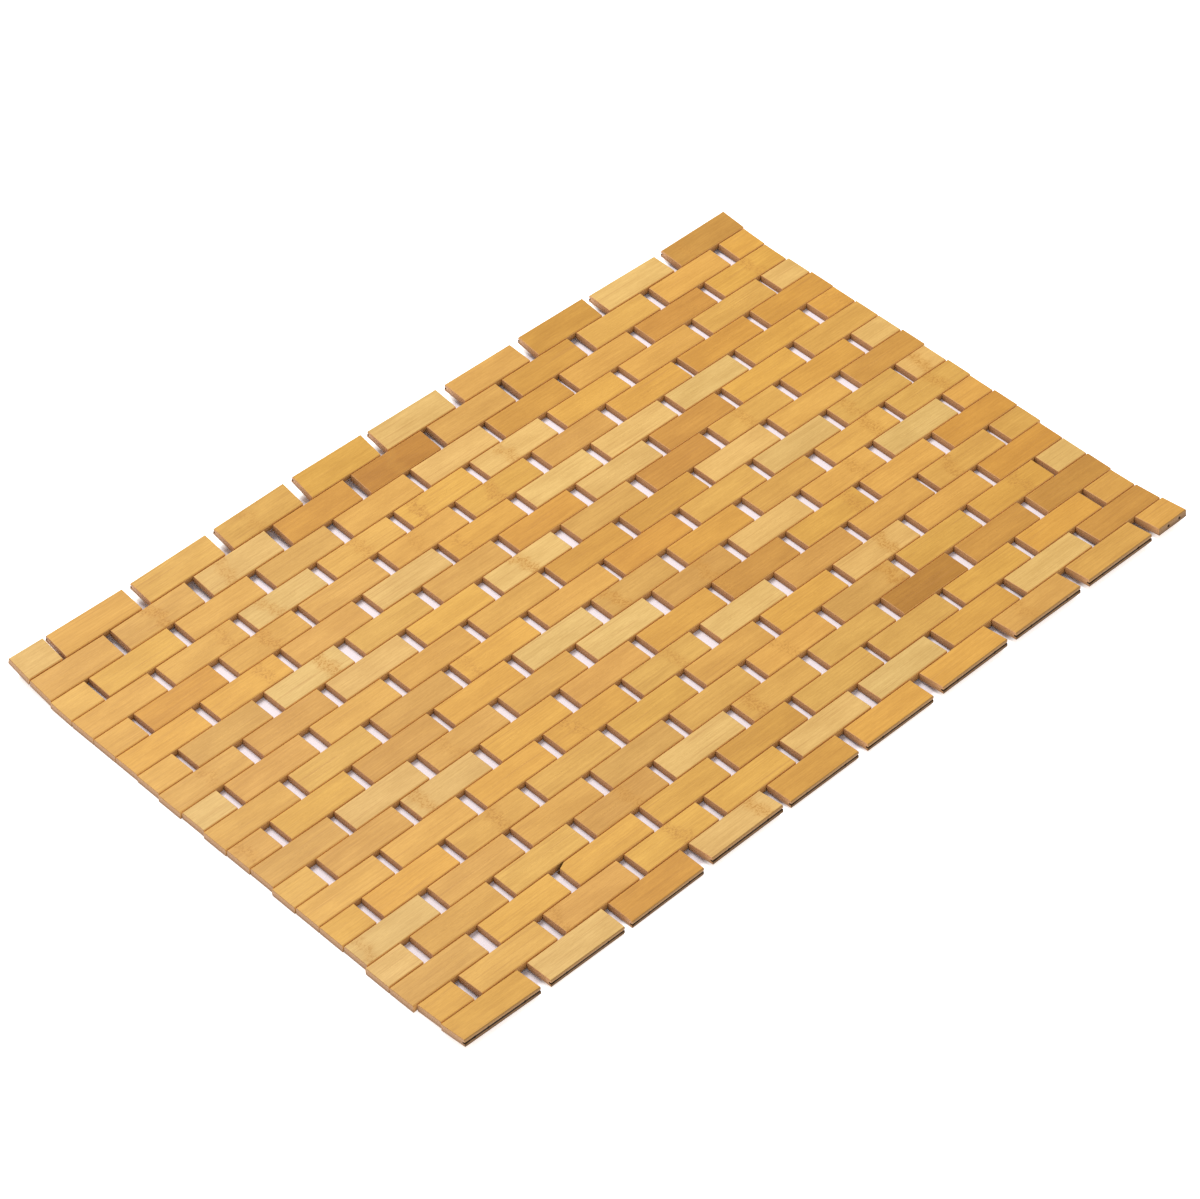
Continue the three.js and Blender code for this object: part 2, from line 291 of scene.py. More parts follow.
def uneven(row, slat, trait):
    """A repeatable value from -1 to 1 for one trait of one slat."""
    wave = math.sin(row * ROW_STEP + slat * SLAT_STEP + trait * TRAIT_STEP) * WAVE_HEIGHT
    return 2 * (wave - math.floor(wave)) - 1


def edge_y(edge):
    return (ROWS / 2 - edge) * ROW_PITCH


def row_middle(row):
    return edge_y(row + 0.5)


def half_slat_is_left(row):
    return row % 2 == 0


def slats_of_row(row):
    """The slats of one row from left to right. A half slat's column is -1 or COLUMNS."""
    ends = ROW_ENDS[row]
    lean = ROW_LEAN * (ends.right - ends.left) / 2
    first = -1 if half_slat_is_left(row) else 0
    last = COLUMNS - 1 if half_slat_is_left(row) else COLUMNS
    # The window after a column lies this many pitches more than its number from the mat's left
    offset = 1.5 if half_slat_is_left(row) else 1
    slats = []
    start = -ends.left
    for column in range(first, last):
        beside_half = column == -1 or column + 1 == COLUMNS
        middle = MAT_LEFT + (column + offset) * SLAT_PITCH + lean
        spread = 0 if beside_half else END_SPREAD
        reach = (ends.half_window if beside_half else WINDOW) / 2
        end = middle - reach + spread * uneven(row, column, END_TRAIT)
        slats.append(Slat(row, len(slats), column, start, end))
        start = middle + reach + spread * uneven(row, column, START_TRAIT)
    slats.append(Slat(row, len(slats), last, start, ends.right))
    return slats


ALL_ROWS = [slats_of_row(row) for row in range(ROWS)]


def slats_of_run(run, column):
    rows = ALL_ROWS[run.first:run.last + 1]
    return [slat for row in rows for slat in row if slat.column == column]


def slat_at(x, y):
    """The slat that holds a place of the flat mat, or else the nearest one."""
    row = min(max(math.floor(ROWS / 2 - y / ROW_PITCH), 0), ROWS - 1)
    for slat in ALL_ROWS[row]:
        if x <= slat.right + WINDOW / 2:
            return slat
    return ALL_ROWS[row][-1]


def cord_places(number):
    """Where a cord runs along X. The first and the last are doubled, the outer one first."""
    if number == 0:
        return [MAT_LEFT + inset for inset in EDGE_CORD_INSETS]
    if number == 2 * COLUMNS:
        return [-MAT_LEFT - inset for inset in EDGE_CORD_INSETS]
    return [MAT_LEFT + (number + 0.5) * SLAT_PITCH / 2]


# The curl of the two long edges

def section_at(x):
    last = len(SECTIONS) - 1
    after = next((i for i in range(1, last) if SECTIONS[i].x >= x), last)
    low, high = SECTIONS[after - 1], SECTIONS[after]
    share = (x - low.x) / (high.x - low.x)
    return Section(*(a + share * (b - a) for a, b in zip(low, high)))


def edge_places(x, place):
    """The middle of the thickness at each row edge, as (y, z), for a slat of that place."""
    section = section_at(x)
    lift = OUTER_LIFTS[place]
    rises = [0.0] * (ROWS + 1)
    for edge, share in enumerate(RISE_SHARES):
        rises[edge] = share * section.back + (lift.back if edge == 0 else 0)
        rises[ROWS - edge] = share * section.front + (lift.front if edge == 0 else 0)
    places = [None] * (ROWS + 1)
    places[ROWS // 2] = (section.sway, MID_HEIGHT)
    for way in (-1, 1):
        edge = ROWS // 2 + way
        while 0 <= edge <= ROWS:
            step = rises[edge] - rises[edge - way]
            pitch = ROW_PITCH if step == 0 else CURL_PITCH
            run = math.sqrt(pitch * pitch - step * step)
            places[edge] = (places[edge - way][0] - way * run, MID_HEIGHT + rises[edge])
            edge += way
    return places


def row_place(places, row, across, up):
    """A point of a row's section as (y, z), from how far across and up it is from the middle."""
    (back_y, back_z), (front_y, front_z) = places[row], places[row + 1]
    length = math.hypot(back_y - front_y, back_z - front_z)
    along_y = (back_y - front_y) / length
    along_z = (back_z - front_z) / length
    y = (back_y + front_y) / 2 + across * along_y - up * along_z
    z = (back_z + front_z) / 2 + across * along_z + up * along_y
    return y, z


SLAT_EDGES = {
    slat: (edge_places(slat.left, slat.place), edge_places(slat.right, slat.place))
    for row in ALL_ROWS
    for slat in row
}


def curled(x, y, z):
    """Where a point of the flat mat lies in the curled one, still in millimetres."""
    slat = slat_at(x, y)
    at_left, at_right = SLAT_EDGES[slat]
    across = y - row_middle(slat.row)
    up = z - MID_HEIGHT
    left_y, left_z = row_place(at_left, slat.row, across, up)
    right_y, right_z = row_place(at_right, slat.row, across, up)
    share = (x - slat.left) / (slat.right - slat.left)
    return Vector((x, left_y + share * (right_y - left_y), left_z + share * (right_z - left_z)))


def slat_corners(slat):
    """The eight corners of a slat, whose long faces are planed back a little at each corner."""
    corners = []
    for z in (0, SLAT_THICKNESS):
        for at_back in (0, 1):
            for at_right in (0, 1):
                trait = CORNER_TRAIT + at_right + 2 * at_back
                planed = PLANED_OFF * (1 + uneven(slat.row, slat.column, trait)) / 2
                side = 1 if at_back else -1
                y = row_middle(slat.row) + side * (SLAT_WIDTH / 2 - planed)
                corners.append(Vector((slat.right if at_right else slat.left, y, z)))
    return corners


def footprint_centre():
    corners = [curled(*corner) for row in ALL_ROWS for slat in row for corner in slat_corners(slat)]
    xs = [corner.x for corner in corners]
    ys = [corner.y for corner in corners]
    return Vector(((min(xs) + max(xs)) / 2, (min(ys) + max(ys)) / 2, 0))


CENTRE = footprint_centre()


def placed(x, y, z):
    """Where a point of the flat mat lies in the frame, in metres."""
    return (curled(x, y, z) - CENTRE) * MM


# Slats as meshes

BOX_FACES = ((0, 2, 3, 1), (4, 5, 7, 6), (0, 1, 5, 4), (2, 6, 7, 3), (0, 4, 6, 2), (1, 3, 7, 5))


def add_box(mesh, corners):
    points = [mesh.verts.new(corner) for corner in corners]
    for face in BOX_FACES:
        mesh.faces.new([points[index] for index in face])


def rounding_share(edge):
    """How round an edge is: the long upper edges most, the lower edges least."""
    first, second = (vertex.co for vertex in edge.verts)
    if first.z != second.z:
        return CORNER_SHARE
    if first.z < MID_HEIGHT:
        return BOTTOM_SHARE
    return 1.0 if abs(second.x - first.x) > abs(second.y - first.y) else END_EDGE_SHARE


def rounded_slats(slats, name):
    mesh = bmesh.new()
    for slat in slats:
        add_box(mesh, slat_corners(slat))
    share = mesh.edges.layers.float.new("bevel_weight_edge")
    for edge in mesh.edges:
        edge[share] = rounding_share(edge)
    solid = to_object(mesh, name)
    modifier = solid.modifiers.new("round", "BEVEL")
    modifier.width = LONG_EDGE_ROUND
    modifier.segments = EDGE_SEGMENTS
    modifier.limit_method = "WEIGHT"
    apply_modifiers(solid)
    return solid


def add_bar(mesh, x, back, front):
    """A round bar across the rows, for drilling."""
    turn = Matrix.Rotation(math.pi / 2, 4, "X")
    move = Matrix.Translation((x, (back + front) / 2, MID_HEIGHT))
    bmesh.ops.create_cone(
        mesh, cap_ends=True, segments=HOLE_SIDES, radius1=HOLE_RADIUS, radius2=HOLE_RADIUS,
        depth=abs(back - front), matrix=move @ turn,
    )


def drill_bits(numbers, run):
    mesh = bmesh.new()
    for number in numbers:
        for x in cord_places(number):
            add_bar(mesh, x, edge_y(run.first) + SEAM, edge_y(run.last + 1) - SEAM)
    return mesh


def saw_blade(slat, face):
    """The block that saws the groove into the outer face at the back (1) or the front (-1)."""
    mesh = bmesh.new()
    low, high = MID_HEIGHT - GROOVE_HEIGHT / 2, MID_HEIGHT + GROOVE_HEIGHT / 2
    near, far = sorted((face * (OUTER_FACE - GROOVE_DEPTH), face * (OUTER_FACE + SEAM)))
    left, right = slat.left - SEAM, slat.right + SEAM
    add_box(mesh, [Vector((x, y, z)) for z in (low, high) for y in (near, far) for x in (left, right)])
    return mesh


def chip_wedge(slat):
    """The wedge that breaks the back left corner out of a slat's top."""
    back = edge_y(slat.row)
    left, right = slat.left - SEAM, slat.left + CHIP_LENGTH
    low, high = SLAT_THICKNESS - CHIP_DEPTH, SLAT_THICKNESS + SEAM
    outline = ((left, back - CHIP_WIDTH), (right, back - CHIP_TIP), (left, back), (right, back))
    mesh = bmesh.new()
    add_box(mesh, [Vector((x, y, z)) for z in (low, high) for x, y in outline])
    return mesh


def to_object(mesh, name):
    data = bpy.data.meshes.new(name)
    mesh.to_mesh(data)
    mesh.free()
    made = bpy.data.objects.new(name, data)
    bpy.context.scene.collection.objects.link(made)
    return made


def apply_modifiers(solid):
    shape = bpy.data.meshes.new_from_object(solid.evaluated_get(bpy.context.evaluated_depsgraph_get()))
    solid.modifiers.clear()
    before, solid.data = solid.data, shape
    bpy.data.meshes.remove(before)


def cut_away(solid, tool):
    """Cuts the tool out of the solid and deletes the tool."""
    modifier = solid.modifiers.new("cut", "BOOLEAN")
    modifier.operation = "DIFFERENCE"
    modifier.solver = "EXACT"
    modifier.object = tool
    apply_modifiers(solid)
    bpy.data.objects.remove(tool)


# Looks of one slat, drawn in one fixed order from one seeded source

Look = namedtuple("Look", "tone seed ring_at ring_strength")


def listed_tone(row, place):
    for name, slats in LISTED_TONES.items():
        if (row, place) in slats:
            return name
    return None


def ring_of(slat):
    """The growth ring of a slat. One without a listed ring has one of no strength."""
    for ring in RINGS:
        if (ring.row, ring.place) == (slat.row, slat.place):
            return ring
    return Ring(slat.row, slat.place, 0.5, 0.0)


def varied(tone, lightness, warmth, share):
    """A tone made lighter and warmer, and given painted light and shade for its share of the way to
    the right end.
    """
    chances = (lightness, lightness / warmth, lightness / warmth**2)
    light_falloff = [left + share * (right - left) for left, right in zip(LEFT_PAINTED_LIGHT, RIGHT_PAINTED_SHADE)]
    return tuple(part * chance * tint for part, chance, tint in zip(tone, chances, light_falloff))


def looks_of_slats():
    draw = random.Random(RANDOM_SEED)
    looks = {}
    for row in ALL_ROWS:
        for slat in row:
            common = draw.choice(COMMON_TONES)
            name = listed_tone(slat.row, slat.place) or common
            lightness = 1 + LIGHTNESS_SPREAD * draw.uniform(-1, 1)
            warmth = 1 + WARMTH_SPREAD * draw.uniform(-1, 1)
            tone = varied(TONES[name], lightness, warmth, slat.place / COLUMNS)
            ring = ring_of(slat)
            at = ring.share * (slat.right - slat.left)
            looks[slat] = Look(tone, draw.uniform(0, LARGEST_GRAIN_SEED), at, ring.strength)
    return looks


LOOKS = looks_of_slats()


def finish_slats(piece, material):
    """Stores each face's look, then curls the flat slats up into the mat."""
    data = piece.data
    place = data.attributes.new("place", "FLOAT_VECTOR", "POINT")
    tone = data.attributes.new("tone", "FLOAT_COLOR", "FACE")
    mark = data.attributes.new("mark", "FLOAT_VECTOR", "FACE")
    skin = data.attributes.new("skin", "FLOAT_VECTOR", "FACE")
    for face in data.polygons:
        slat = slat_at(face.center.x, face.center.y)
        look = LOOKS[slat]
        tone.data[face.index].color = (*look.tone, 1)
        mark.data[face.index].vector = (look.ring_at, look.ring_strength, look.seed)
        facing = face.normal
        # The third part is the face's share of painted shade
        skin.data[face.index].vector = (abs(facing.x), abs(facing.y), painted_shade_of(face, slat))
    for vertex in data.vertices:
        x, y, z = vertex.co
        slat = slat_at(x, y)
        place.data[vertex.index].vector = (x - slat.left, y - row_middle(slat.row), z)
        vertex.co = placed(x, y, z)
    data.materials.clear()
    data.materials.append(material)
    data.shade_smooth()
    even_out = piece.modifiers.new("flat faces", "WEIGHTED_NORMAL")
    even_out.keep_sharp = False
    data.update()


def on_slat_box(face, slat):
    """Whether a face lies on the slat's outside, and not in a hole, the groove or the chip."""
    gap_end = min(face.center.x - slat.left, slat.right - face.center.x)
    gap_side = SLAT_WIDTH / 2 - abs(face.center.y - row_middle(slat.row))
    return gap_end < SKIN_DEPTH or gap_side < SKIN_DEPTH


def painted_shade_of(face, slat):
    """How much painted shade a face gets: all of it in a hole, the groove or the chip, and part of it
    on the mat's outer faces.
    """
    if abs(face.center.z - MID_HEIGHT) < INNER_REACH and not on_slat_box(face, slat):
        return 1.0
    if abs(face.center.y) > OUTER_FACE - LONG_EDGE_ROUND and abs(face.normal.y) > FACING:
        return SIDE_PAINTED_SHADE if face.center.z > MID_HEIGHT else FOOT_PAINTED_SHADE
    if abs(face.center.x) > SHORTEST_REACH - LONG_EDGE_ROUND and abs(face.normal.x) > FACING:
        return END_PAINTED_SHADE
    return 0.0


def slat_piece(name, column, run, numbers, material):
    """The slats of one column and run, drilled for the cords of those numbers."""
    slats = slats_of_run(run, column)
    piece = rounded_slats(slats, name)
    cut_away(piece, to_object(drill_bits(numbers, run), "drill"))
    for slat in slats:
        if 0 <= column < COLUMNS and slat.row in (0, ROWS - 1):
            cut_away(piece, to_object(saw_blade(slat, 1 if slat.row == 0 else -1), "saw"))
        if (slat.row, slat.place) == CHIPPED_SLAT:
            cut_away(piece, to_object(chip_wedge(slat), "chip"))
    finish_slats(piece, material)
    return piece


# Cord as twisted tubes

def bend(corner, start, end):
    """Points of a round bend from start to end about a square corner."""
    points = []
    for step in range(BEND_STEPS + 1):
        share = step / BEND_STEPS
        first = start.lerp(corner, share)
        second = corner.lerp(end, share)
        points.append(first.lerp(second, share))
    return points


def lace(from_x, to_x, face):
    """The lacing from one hole to the next in the groove, at the back (1) or the front (-1)."""
    groove = face * (OUTER_FACE - GROOVE_DEPTH / 2)
    way = math.copysign(1, to_x - from_x)
    inner = groove - face * LACE_BEND
    first = bend(
        Vector((from_x, groove, MID_HEIGHT)),
        Vector((from_x, inner, MID_HEIGHT)),
        Vector((from_x + way * LACE_BEND, groove, MID_HEIGHT)),
    )
    second = bend(
        Vector((to_x, groove, MID_HEIGHT)),
        Vector((to_x - way * LACE_BEND, groove, MID_HEIGHT)),
        Vector((to_x, inner, MID_HEIGHT)),
    )
    straight = []
    steps = round(abs(to_x - from_x) / CORD_STEP)
    for step in range(1, steps):
        x = from_x + (to_x - from_x) * step / steps
        if LACE_BEND < abs(x - from_x) and LACE_BEND < abs(to_x - x):
            straight.append(Vector((x, groove, MID_HEIGHT)))
    tail = [Vector((to_x, groove - face * LACE_DIVE, MID_HEIGHT))]
    return first + straight + second + tail


def across_rows(x, back, front):
    """Points from one Y to another, with a turn wherever the cord enters or leaves a row."""
    ys = [back]
    for edge in range(1, ROWS):
        for y in (edge_y(edge) + SEAM, edge_y(edge) - SEAM):
            if front + SEAM < y < back - SEAM:
                ys.append(y)
    ys.append(front)
    return [Vector((x, y, MID_HEIGHT)) for y in ys]


def twisted_tube(points, name, material):
    """A two-ply cord: its section is drawn in where the plies meet, and turns along it."""
    path = [placed(*point) / MM for point in points]
    mesh = bmesh.new()
    rings = []
    gone = 0.0
    side = Vector((0, 0, 1))
    for index, point in enumerate(path):
        before = path[max(index - 1, 0)]
        after = path[min(index + 1, len(path) - 1)]
        ahead = (after - before).normalized()
        side = (side - ahead * side.dot(ahead)).normalized()
        other = ahead.cross(side)
        gone += (point - before).length
        turn = 2 * math.pi * gone / CORD_TWIST_LENGTH
        ring = []
        for corner in range(CORD_SIDES):
            angle = 2 * math.pi * corner / CORD_SIDES
            radius = CORD_RADIUS * (1 - CORD_PLY_DEPTH * (1 - abs(math.cos(angle - turn))))
            offset = side * math.cos(angle) * radius + other * math.sin(angle) * radius
            ring.append(mesh.verts.new((point + offset) * MM))
        rings.append(ring)
    for first, second in zip(rings, rings[1:]):
        for corner in range(CORD_SIDES):
            following = (corner + 1) % CORD_SIDES
            mesh.faces.new((first[corner], second[corner], second[following], first[following]))
    mesh.faces.new(rings[0])
    mesh.faces.new(list(reversed(rings[-1])))
    bmesh.ops.recalc_face_normals(mesh, faces=mesh.faces)
    piece = to_object(mesh, name)
    piece.data.shade_smooth()
    piece.data.materials.append(material)
    return piece


def cord_piece(name, number, index, material):
    """One cord from the back to the front: even ones are laced at both ends."""
    x = cord_places(number)[index]
    inner = OUTER_FACE - GROOVE_DEPTH / 2 - LACE_BEND
    end = OUTER_FACE - GROOVE_DEPTH - LACE_DIVE
    if 0 < number < 2 * COLUMNS and number % 2 == 0:
        [before] = cord_places(number - 1)
        [after] = cord_places(number + 1)
        laced_back = list(reversed(lace(x, before, 1)))
        laced_front = lace(x, after, -1)
        points = laced_back + across_rows(x, inner, -inner)[1:-1] + laced_front
    elif number == 0 and index == 0:
        points = across_rows(x, end, -inner)[:-1] + lace(x, cord_places(1)[0], -1)
    elif number == 2 * COLUMNS and index == 0:
        laced_back = list(reversed(lace(x, cord_places(number - 1)[0], 1)))
        points = laced_back + across_rows(x, inner, -end)[1:]
    else:
        points = across_rows(x, end, -end)
    return twisted_tube(points, name, material)


# Materials

# Noise in the wood: how often it repeats in a millimetre along, across and up the slat, its detail
# and roughness, and which of its values become 0 and 1
Pattern = namedtuple("Pattern", "scale detail roughness low high")
FIBRES = Pattern((0.05, 2.6, 2.6), 3.0, 0.65, 0.25, 0.75)
FLECKS = Pattern((0.28, 1.7, 1.7), 1.0, 0.5, 0.35, 0.65)
STREAKS = Pattern((0.014, 0.75, 0.75), 2.0, 0.55, 0.3, 0.7)
CLOUDS = Pattern((0.035, 0.09, 0.09), 1.0, 0.5, 0.3, 0.7)
DARK_LINES = Pattern((0.02, 1.6, 1.6), 0.0, 0.5, 0.69, 0.76)
SPECKLES = Pattern((0.55, 0.85, 0.85), 2.0, 0.75, 0.48, 0.60)
WOBBLE_SCALE = (0.02, 0.16, 0.3)
WOBBLE_DETAIL = 1.0

# Layers that a slat's tone is multiplied by: a pattern, and the tints where it is 0 and 1
Layer = namedtuple("Layer", "pattern dark light")
LAYERS = [
    Layer(FIBRES, (0.92, 0.90, 0.86, 1), (1.04, 1.045, 1.06, 1)),
    Layer(FLECKS, (0.965, 0.955, 0.93, 1), (1.025, 1.03, 1.04, 1)),
    Layer(STREAKS, (0.95, 0.93, 0.90, 1), (1.03, 1.035, 1.045, 1)),
    Layer(CLOUDS, (0.95, 0.93, 0.89, 1), (1.04, 1.05, 1.07, 1)),
]

# Cut faces, as the two linear colours of their grain, and the pores in the end grain
END_GRAIN = ((0.57, 0.30, 0.120, 1), (0.36, 0.18, 0.068, 1))
SIDE_GRAIN = ((0.55, 0.275, 0.080, 1), (0.65, 0.35, 0.105, 1))
PORE_SCALE = (0.0, 1.5, 1.9)
PORE_EDGE = 0.32
PORE_CORE = 0.18

# Colours laid over the grain, each linear and with its largest share
Paint = namedtuple("Paint", "share colour")
THIN_LINES = Paint(0.30, (0.34, 0.15, 0.04, 1))
RING_SPECKLES = Paint(0.9, (0.31, 0.135, 0.018, 1))
RING_BAND = Paint(0.4, (0.45, 0.215, 0.034, 1))
# Painted shade, darker towards the foot of the faces
LOW_PAINTED_SHADE = Paint(0.55, (0.17, 0.078, 0.036, 1))
# Painted shade, near black, in the holes, the groove and the chip, and on the mat's outer faces
DEEP_PAINTED_SHADE = Paint(1.0, (0.05, 0.024, 0.012, 1))

# The heights on a slat between which the painted shade at the foot of its faces fades in, from none to
# full
LOW_PAINTED_SHADE_TOP = 4.2
LOW_PAINTED_SHADE_BOTTOM = 0.4

# A growth ring: how near its middle it is full, how far it reaches, and how far it sways
RING_CORE = 1.0
RING_REACH = 7.0
RING_SWAY = 14.0

# How far apart the seeds set the slats' patterns, in millimetres for each 1 of the seed
PATTERN_STEPS = (37.0, 11.0, 5.0)

# How squarely a face has to face sideways to start and to finish turning into a cut face
CUT_FACE_TURN = (0.25, 0.85)

# How far the fibres stand out from the varnish, how far the speckles sink in, as a share of that,
# and the fuzz of the cord: how often it repeats in a millimetre and how far it stands out
FIBRE_HEIGHT = 0.06
SPECKLE_DEPTH = 0.6
FUZZ_SCALE = 6.0
FUZZ_HEIGHT = 0.05

# The painted shade on the floor under the mat, as its reach each way from the middle and the width of
# its soft edge, and how strongly the floor around it glows as painted light
FLOOR_PAINTED_SHADE_X = 291.0
FLOOR_PAINTED_SHADE_Y = 190.0
FLOOR_PAINTED_SHADE_EDGE = 8.0
FLOOR_PAINTED_GLOW = 0.6


class Graph:
    """Adds nodes to a material and links them, each written as one call."""

    # The mix node's inputs for the share and the two colours, and its output for the colour
    MIX_INPUTS = (0, 6, 7)
    MIX_OUTPUT = 2

    def __init__(self, name):
        self.material = bpy.data.materials.new(name)
        self.material.use_nodes = True
        self.nodes = self.material.node_tree.nodes
        self.links = self.material.node_tree.links
        self.shader = self.nodes["Principled BSDF"]

    def connect(self, value, socket):
        if isinstance(value, bpy.types.NodeSocket):
            self.links.new(value, socket)
        else:
            socket.default_value = value

    def attribute(self, name, output):
        node = self.nodes.new("ShaderNodeAttribute")
        node.attribute_name = name
        return node.outputs[output]

    def math(self, operation, *values):
        node = self.nodes.new("ShaderNodeMath")
        node.operation = operation
        for value, socket in zip(values, node.inputs):
            self.connect(value, socket)
        return node.outputs[0]

    def vector(self, operation, *values):
        node = self.nodes.new("ShaderNodeVectorMath")
        node.operation = operation
        for value, socket in zip(values, node.inputs):
            self.connect(value, socket)
        return node.outputs[0]

    def parts(self, value):
        node = self.nodes.new("ShaderNodeSeparateXYZ")
        self.connect(value, node.inputs[0])
        return node.outputs

    def scaled(self, place, x, y, z):
        return self.vector("MULTIPLY", place, (x, y, z))

    def object_place(self):
        return self.nodes.new("ShaderNodeTexCoord").outputs["Object"]

    def noise(self, place, detail=2.0, roughness=0.5):
        node = self.nodes.new("ShaderNodeTexNoise")
        node.inputs["Scale"].default_value = 1.0
        node.inputs["Detail"].default_value = detail
        node.inputs["Roughness"].default_value = roughness
        self.connect(place, node.inputs["Vector"])
        return node.outputs[0]

    def dots(self, place):
        node = self.nodes.new("ShaderNodeTexVoronoi")
        node.inputs["Scale"].default_value = 1.0
        self.connect(place, node.inputs["Vector"])
        return node.outputs["Distance"]

    def raw_pattern(self, place, pattern):
        return self.noise(self.scaled(place, *pattern.scale), pattern.detail, pattern.roughness)

    def pattern(self, place, pattern):
        return self.ranged(self.raw_pattern(place, pattern), pattern.low, pattern.high)

    def ranged(self, value, low, high, to_low=0.0, to_high=1.0):
        node = self.nodes.new("ShaderNodeMapRange")
        node.interpolation_type = "SMOOTHSTEP"
        for number, socket in zip((value, low, high, to_low, to_high), node.inputs):
            self.connect(number, socket)
        return node.outputs[0]

    def mix(self, share, first, second, blend="MIX"):
        node = self.nodes.new("ShaderNodeMix")
        node.data_type = "RGBA"
        node.blend_type = blend
        for value, index in zip((share, first, second), self.MIX_INPUTS):
            self.connect(value, node.inputs[index])
        return node.outputs[self.MIX_OUTPUT]

    def painted(self, under, where, paint):
        return self.mix(self.math("MULTIPLY", where, paint.share), under, paint.colour)

    def bump(self, height, distance, strength):
        node = self.nodes.new("ShaderNodeBump")
        node.inputs["Distance"].default_value = distance
        node.inputs["Strength"].default_value = strength
        self.connect(height, node.inputs["Height"])
        return node.outputs[0]

    def shade(self, values):
        """Sets the shader's inputs, each by its name."""
        for name, value in values.items():
            self.connect(value, self.shader.inputs[name])


def own_pattern(graph, place, seed):
    """The place in the wood that a slat is cut from, which its seed sets apart from the others."""
    apart = graph.nodes.new("ShaderNodeCombineXYZ")
    for step, socket in zip(PATTERN_STEPS, apart.inputs):
        graph.connect(graph.math("MULTIPLY", seed, step), socket)
    return graph.vector("ADD", place, apart.outputs[0])


def grained_tone(graph, tone, wood):
    """A slat's tone with fine grain, flecks, streaks and clouds, and with thin dark lines."""
    for layer in LAYERS:
        tint = graph.mix(graph.pattern(wood, layer.pattern), layer.dark, layer.light)
        tone = graph.mix(1.0, tone, tint, "MULTIPLY")
    return graph.painted(tone, graph.pattern(wood, DARK_LINES), THIN_LINES)


def growth_ring(graph, along, wood, ring_at, ring_strength):
    """How far a place lies in the ring's band, and how far in the speckles of that band."""
    wobble = graph.noise(graph.scaled(wood, *WOBBLE_SCALE), WOBBLE_DETAIL)
    sway = graph.math("MULTIPLY", graph.math("SUBTRACT", wobble, 0.5), RING_SWAY)
    past_ring = graph.math("SUBTRACT", graph.math("ADD", along, sway), ring_at)
    near_ring = graph.ranged(graph.math("ABSOLUTE", past_ring), RING_REACH, RING_CORE)
    band = graph.math("MULTIPLY", near_ring, ring_strength)
    return band, graph.math("MULTIPLY", band, graph.pattern(wood, SPECKLES))


def bamboo_material():
    """Varnished bamboo: straight grain along the slat, growth rings, and brown cut faces."""
    graph = Graph("bamboo")
    place = graph.attribute("place", "Vector")
    along, _, up = graph.parts(place)
    tone = graph.attribute("tone", "Color")
    ring_at, ring_strength, seed = graph.parts(graph.attribute("mark", "Vector"))
    end_face, side_face, painted_shade = graph.parts(graph.attribute("skin", "Vector"))
    wood = own_pattern(graph, place, seed)
    fibres = graph.raw_pattern(wood, FIBRES)

    band, speckles = growth_ring(graph, along, wood, ring_at, ring_strength)
    top = grained_tone(graph, tone, wood)
    top = graph.painted(top, speckles, RING_SPECKLES)
    top = graph.painted(top, band, RING_BAND)

    pores = graph.ranged(graph.dots(graph.scaled(wood, *PORE_SCALE)), PORE_EDGE, PORE_CORE)
    end_grain = graph.mix(pores, *END_GRAIN)
    side_grain = graph.mix(graph.pattern(wood, FIBRES), *SIDE_GRAIN)
    colour = graph.mix(graph.ranged(side_face, *CUT_FACE_TURN), top, side_grain)
    colour = graph.mix(graph.ranged(end_face, *CUT_FACE_TURN), colour, end_grain)
    # Painted shade, darker towards the foot of each face
    colour = graph.painted(colour, graph.ranged(up, LOW_PAINTED_SHADE_TOP, LOW_PAINTED_SHADE_BOTTOM), LOW_PAINTED_SHADE)
    # Painted shade in the holes, the groove and the chip, and on the mat's outer faces
    colour = graph.painted(colour, painted_shade, DEEP_PAINTED_SHADE)
    height = graph.math("SUBTRACT", fibres, graph.math("MULTIPLY", speckles, SPECKLE_DEPTH))
    graph.shade({
        "Base Color": colour,
        "Roughness": graph.ranged(fibres, 0.2, 0.8, 0.44, 0.58),
        "Specular IOR Level": 0.22,
        "Coat Weight": 0.04,
        "Coat Roughness": 0.4,
        "Normal": graph.bump(height, FIBRE_HEIGHT * MM, 0.5),
    })
    return graph.material


def cord_material():
    """Waxed black-brown cord with fine fibres."""
    graph = Graph("cord")
    scale = FUZZ_SCALE / MM
    fuzz = graph.noise(graph.scaled(graph.object_place(), scale, scale, scale))
    graph.shade({
        "Base Color": graph.mix(fuzz, (0.028, 0.018, 0.012, 1), (0.070, 0.046, 0.030, 1)),
        "Roughness": 0.75,
        "Normal": graph.bump(fuzz, FUZZ_HEIGHT * MM, 0.6),
    })
    return graph.material


def floor_material():
    """White paper that glows as painted light around the mat, so that it stays pure white as in the
    photo, and has painted shade under it.
    """
    graph = Graph("floor")
    x, y, _ = graph.parts(graph.object_place())
    past_end = graph.math("SUBTRACT", graph.math("ABSOLUTE", x), FLOOR_PAINTED_SHADE_X * MM)
    past_side = graph.math("SUBTRACT", graph.math("ABSOLUTE", y), FLOOR_PAINTED_SHADE_Y * MM)
    around = graph.ranged(graph.math("MAXIMUM", past_end, past_side), 0.0, FLOOR_PAINTED_SHADE_EDGE * MM)
    graph.shade({
        # Painted shade under the mat, and around it a glow of painted light that hides the shadows
        "Base Color": graph.mix(around, (0.72, 0.66, 0.70, 1), (0.92, 0.915, 0.93, 1)),
        "Emission Color": (1, 1, 1, 1),
        "Emission Strength": graph.math("MULTIPLY", around, FLOOR_PAINTED_GLOW),
        "Roughness": 0.9,
        "Specular IOR Level": 0.1,
    })
    return graph.material


